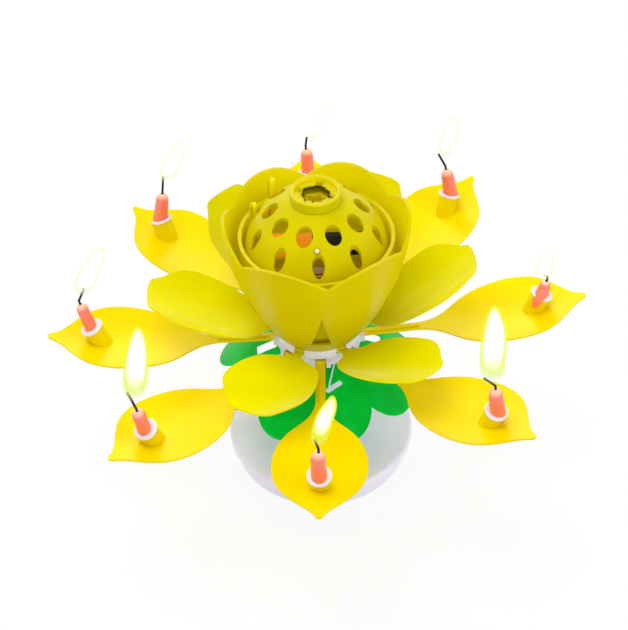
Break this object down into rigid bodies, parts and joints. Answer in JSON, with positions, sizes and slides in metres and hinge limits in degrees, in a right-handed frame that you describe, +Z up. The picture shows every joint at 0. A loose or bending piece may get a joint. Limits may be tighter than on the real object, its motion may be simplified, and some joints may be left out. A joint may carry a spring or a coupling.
{
  "type": "musical birthday candle",
  "caption": "Opened flower candle on a low round base: yellow hinged petals with small lit candles round a lobed cup and grille dome, turning over a gear train.",
  "frame": {"origin": "centre of the base's underside, on the axis the flower turns about", "axes": "+Z up along the turning axis, +X to the viewer's right, +Y away from the viewer"},
  "size_m": [0.2288, 0.2289, 0.1475],
  "materials": {
    "outer_yellow": "glossy",
    "inner_yellow": "glossy",
    "shell_yellow": "glossy",
    "dome_yellow": "glossy",
    "calyx_green": "satin",
    "ring_white": "glossy",
    "holder_white": "satin",
    "base_clear": "translucent, glossy",
    "cup_white": "satin",
    "wax_coral": "waxy, slightly translucent",
    "wick_black": "charred",
    "led_clear": "clear lens",
    "screw_steel": "plated",
    "gear_white": "satin",
    "gear_brass": "bright",
    "motor_steel": "plated",
    "speaker_steel": "plated",
    "board_green": "printed board",
    "battery_case": "glossy",
    "contact_metal": "plated"
  },
  "bodies": {
    "base": {"base_tub": "base_clear", "base_lid": "base_clear", "base_screws": "screw_steel", "sun_gear": "gear_white"},
    "flower": {"petal_ring": "ring_white", "calyx": "calyx_green", "corolla_cup": "shell_yellow", "inner_holder": "dome_yellow", "grille_dome": "dome_yellow", "starter_cup": "dome_yellow", "led": "led_clear", "ring_screws": "screw_steel", "gear_plate": "holder_white", "motor": "motor_steel", "speaker": "speaker_steel", "circuit_board": "board_green", "battery_tray": "dome_yellow", "battery": "battery_case", "battery_spring": "contact_metal", "battery_plate": "contact_metal"},
    "drive_gear_body": {"drive_gear": "gear_white"},
    "motor_pinion_body": {"motor_pinion": "gear_brass"},
    "outer_petal_body_1": {"outer_petal_1": "outer_yellow", "candle_cup_1": "cup_white", "candle_1": "wax_coral", "wick_1": "wick_black"},
    "outer_petal_body_2": {"outer_petal_2": "outer_yellow", "candle_cup_2": "cup_white", "candle_2": "wax_coral", "wick_2": "wick_black"},
    "outer_petal_body_3": {"outer_petal_3": "outer_yellow", "candle_cup_3": "cup_white", "candle_3": "wax_coral", "wick_3": "wick_black"},
    "outer_petal_body_4": {"outer_petal_4": "outer_yellow", "candle_cup_4": "cup_white", "candle_4": "wax_coral", "wick_4": "wick_black"},
    "outer_petal_body_5": {"outer_petal_5": "outer_yellow", "candle_cup_5": "cup_white", "candle_5": "wax_coral", "wick_5": "wick_black"},
    "outer_petal_body_6": {"outer_petal_6": "outer_yellow", "candle_cup_6": "cup_white", "candle_6": "wax_coral", "wick_6": "wick_black"},
    "outer_petal_body_7": {"outer_petal_7": "outer_yellow", "candle_cup_7": "cup_white", "candle_7": "wax_coral", "wick_7": "wick_black"},
    "outer_petal_body_8": {"outer_petal_8": "outer_yellow", "candle_cup_8": "cup_white", "candle_8": "wax_coral", "wick_8": "wick_black"},
    "inner_petal_body_1": {"inner_petal_1": "inner_yellow"},
    "inner_petal_body_2": {"inner_petal_2": "inner_yellow"},
    "inner_petal_body_3": {"inner_petal_3": "inner_yellow"},
    "inner_petal_body_4": {"inner_petal_4": "inner_yellow"},
    "inner_petal_body_5": {"inner_petal_5": "inner_yellow"},
    "inner_petal_body_6": {"inner_petal_6": "inner_yellow"}
  },
  "joints": [
    {"name": "flower_spin", "type": "hinge", "parent": "base", "child": "flower", "pos_m": [0, 0, 0.07], "axis": [0, 0, 1], "continuous": true},
    {"name": "drive_gear_spin", "type": "hinge", "parent": "flower", "child": "drive_gear_body", "pos_m": [0, 0.014, 0.092], "axis": [0, 0, 1], "continuous": true},
    {"name": "motor_pinion_spin", "type": "hinge", "parent": "flower", "child": "motor_pinion_body", "pos_m": [0.01045, 0.00998, 0.095], "axis": [0, 0, 1], "continuous": true},
    {"name": "outer_petal_hinge_1", "type": "hinge", "parent": "flower", "child": "outer_petal_body_1", "pos_m": [0.00048, -0.01819, 0.0696], "axis": [-0.9997, -0.0262, 0], "range_deg": [0, 36.2]},
    {"name": "outer_petal_hinge_2", "type": "hinge", "parent": "flower", "child": "outer_petal_body_2", "pos_m": [0.0132, -0.01253, 0.0696], "axis": [-0.6884, -0.7254, 0], "range_deg": [0, 34.8]},
    {"name": "outer_petal_hinge_3", "type": "hinge", "parent": "flower", "child": "outer_petal_body_3", "pos_m": [0.01819, 0.00048, 0.0696], "axis": [0.0262, -0.9997, 0], "range_deg": [0, 35.7]},
    {"name": "outer_petal_hinge_4", "type": "hinge", "parent": "flower", "child": "outer_petal_body_4", "pos_m": [0.01253, 0.0132, 0.0696], "axis": [0.7254, -0.6884, 0], "range_deg": [0, 35]},
    {"name": "outer_petal_hinge_5", "type": "hinge", "parent": "flower", "child": "outer_petal_body_5", "pos_m": [-0.00048, 0.01819, 0.0696], "axis": [0.9997, 0.0262, 0], "range_deg": [0, 37.5]},
    {"name": "outer_petal_hinge_6", "type": "hinge", "parent": "flower", "child": "outer_petal_body_6", "pos_m": [-0.0132, 0.01253, 0.0696], "axis": [0.6884, 0.7254, 0], "range_deg": [0, 38.5]},
    {"name": "outer_petal_hinge_7", "type": "hinge", "parent": "flower", "child": "outer_petal_body_7", "pos_m": [-0.01819, -0.00048, 0.0696], "axis": [-0.0262, 0.9997, 0], "range_deg": [0, 39.1]},
    {"name": "outer_petal_hinge_8", "type": "hinge", "parent": "flower", "child": "outer_petal_body_8", "pos_m": [-0.01253, -0.0132, 0.0696], "axis": [-0.7254, 0.6884, 0], "range_deg": [0, 38.1]},
    {"name": "inner_petal_hinge_1", "type": "hinge", "parent": "flower", "child": "inner_petal_body_1", "pos_m": [-0.00792, -0.01459, 0.074], "axis": [-0.8788, 0.4772, 0], "range_deg": [0, 31]},
    {"name": "inner_petal_hinge_2", "type": "hinge", "parent": "flower", "child": "inner_petal_body_2", "pos_m": [0.00867, -0.01415, 0.074], "axis": [-0.8526, -0.5225, 0], "range_deg": [0, 24]},
    {"name": "inner_petal_hinge_3", "type": "hinge", "parent": "flower", "child": "inner_petal_body_3", "pos_m": [0.01659, 0.00043, 0.074], "axis": [0.0262, -0.9997, 0], "range_deg": [0, 15]},
    {"name": "inner_petal_hinge_4", "type": "hinge", "parent": "flower", "child": "inner_petal_body_4", "pos_m": [0.00792, 0.01459, 0.074], "axis": [0.8788, -0.4772, 0], "range_deg": [0, 6]},
    {"name": "inner_petal_hinge_5", "type": "hinge", "parent": "flower", "child": "inner_petal_body_5", "pos_m": [-0.00867, 0.01415, 0.074], "axis": [0.8526, 0.5225, 0], "range_deg": [0, 9]},
    {"name": "inner_petal_hinge_6", "type": "hinge", "parent": "flower", "child": "inner_petal_body_6", "pos_m": [-0.01659, -0.00043, 0.074], "axis": [-0.0262, 0.9997, 0], "range_deg": [0, 18]}
  ],
  "couplings": [
    {"joint": "drive_gear_spin", "follows": "flower_spin", "ratio": 3},
    {"joint": "motor_pinion_spin", "follows": "flower_spin", "ratio": -9},
    {"joint": "outer_petal_hinge_2", "follows": "outer_petal_hinge_1", "ratio": 0.96132},
    {"joint": "outer_petal_hinge_3", "follows": "outer_petal_hinge_1", "ratio": 0.98618},
    {"joint": "outer_petal_hinge_4", "follows": "outer_petal_hinge_1", "ratio": 0.96685},
    {"joint": "outer_petal_hinge_5", "follows": "outer_petal_hinge_1", "ratio": 1.0359},
    {"joint": "outer_petal_hinge_6", "follows": "outer_petal_hinge_1", "ratio": 1.0635},
    {"joint": "outer_petal_hinge_7", "follows": "outer_petal_hinge_1", "ratio": 1.0801},
    {"joint": "outer_petal_hinge_8", "follows": "outer_petal_hinge_1", "ratio": 1.0525},
    {"joint": "inner_petal_hinge_1", "follows": "outer_petal_hinge_1", "ratio": 0.85635},
    {"joint": "inner_petal_hinge_2", "follows": "outer_petal_hinge_1", "ratio": 0.66298},
    {"joint": "inner_petal_hinge_3", "follows": "outer_petal_hinge_1", "ratio": 0.41436},
    {"joint": "inner_petal_hinge_4", "follows": "outer_petal_hinge_1", "ratio": 0.16574},
    {"joint": "inner_petal_hinge_5", "follows": "outer_petal_hinge_1", "ratio": 0.24861},
    {"joint": "inner_petal_hinge_6", "follows": "outer_petal_hinge_1", "ratio": 0.49723}
  ]
}
